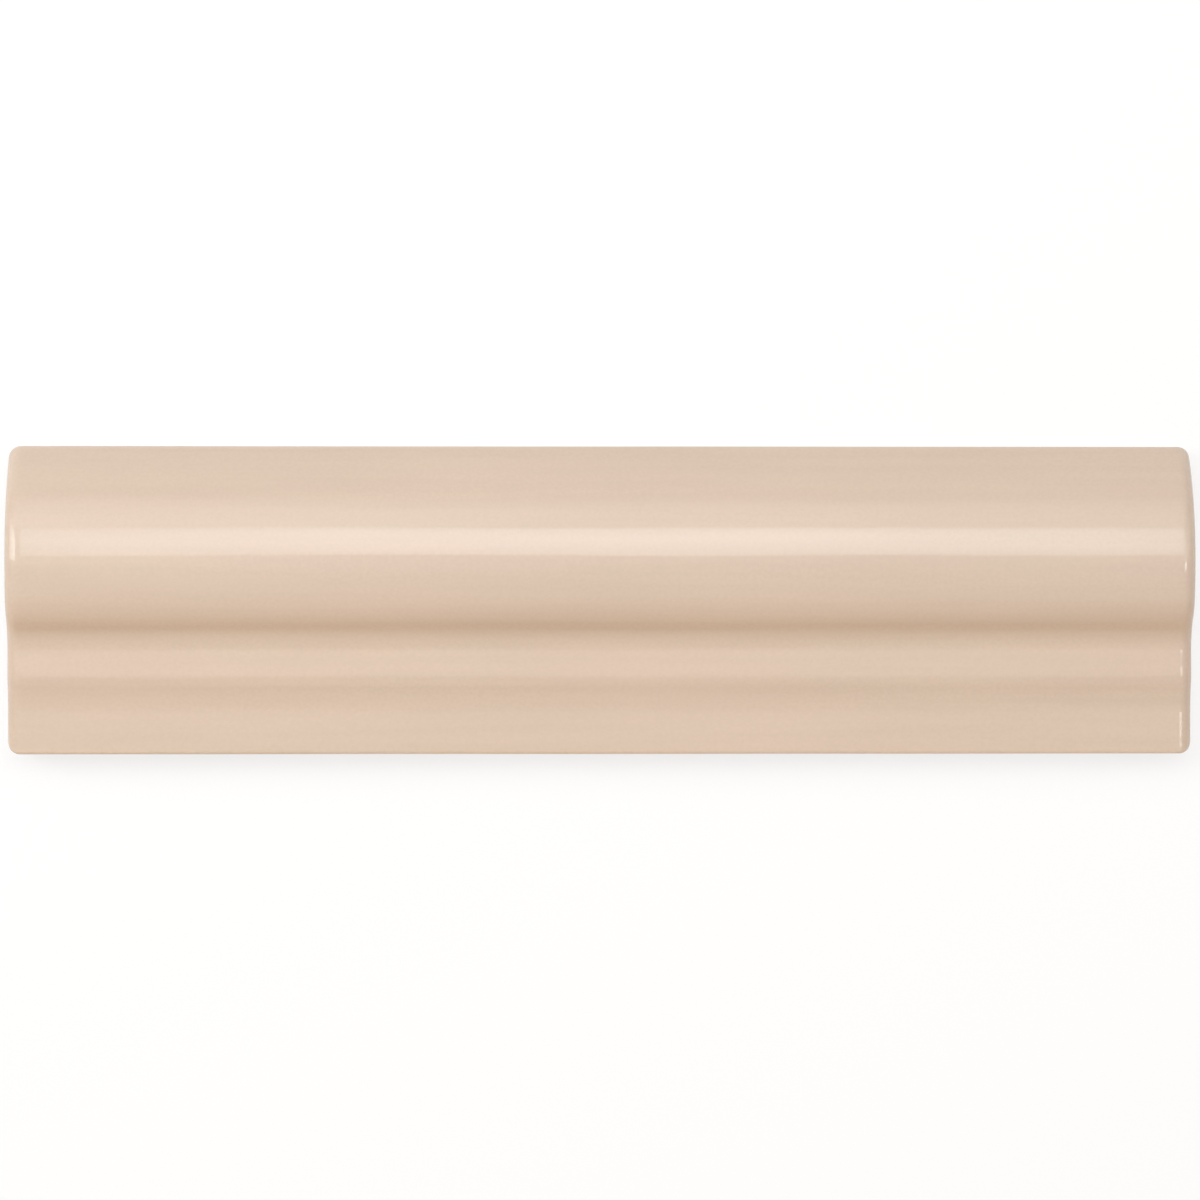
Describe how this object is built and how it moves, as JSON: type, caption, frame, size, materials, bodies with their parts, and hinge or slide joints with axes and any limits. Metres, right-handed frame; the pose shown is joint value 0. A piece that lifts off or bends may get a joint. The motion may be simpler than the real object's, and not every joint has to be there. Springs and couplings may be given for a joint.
{
  "type": "ceramic moulding tile",
  "caption": "Long glazed ceramic wall trim with a broad rounded bead, an ogee hollow and a flat foot band, and a keyed back; it finishes or divides a tiled wall.",
  "frame": {"origin": "middle of the back's outline, on the plane that meets the wall or the floor", "axes": "+X along the tile, +Y from the foot band to the head edge above the bead, +Z out of the glazed front"},
  "size_m": [0.2, 0.052, 0.015],
  "materials": {
    "glaze": "gloss"
  },
  "bodies": {
    "root": {"moulding_tile": "glaze"}
  },
  "joints": []
}
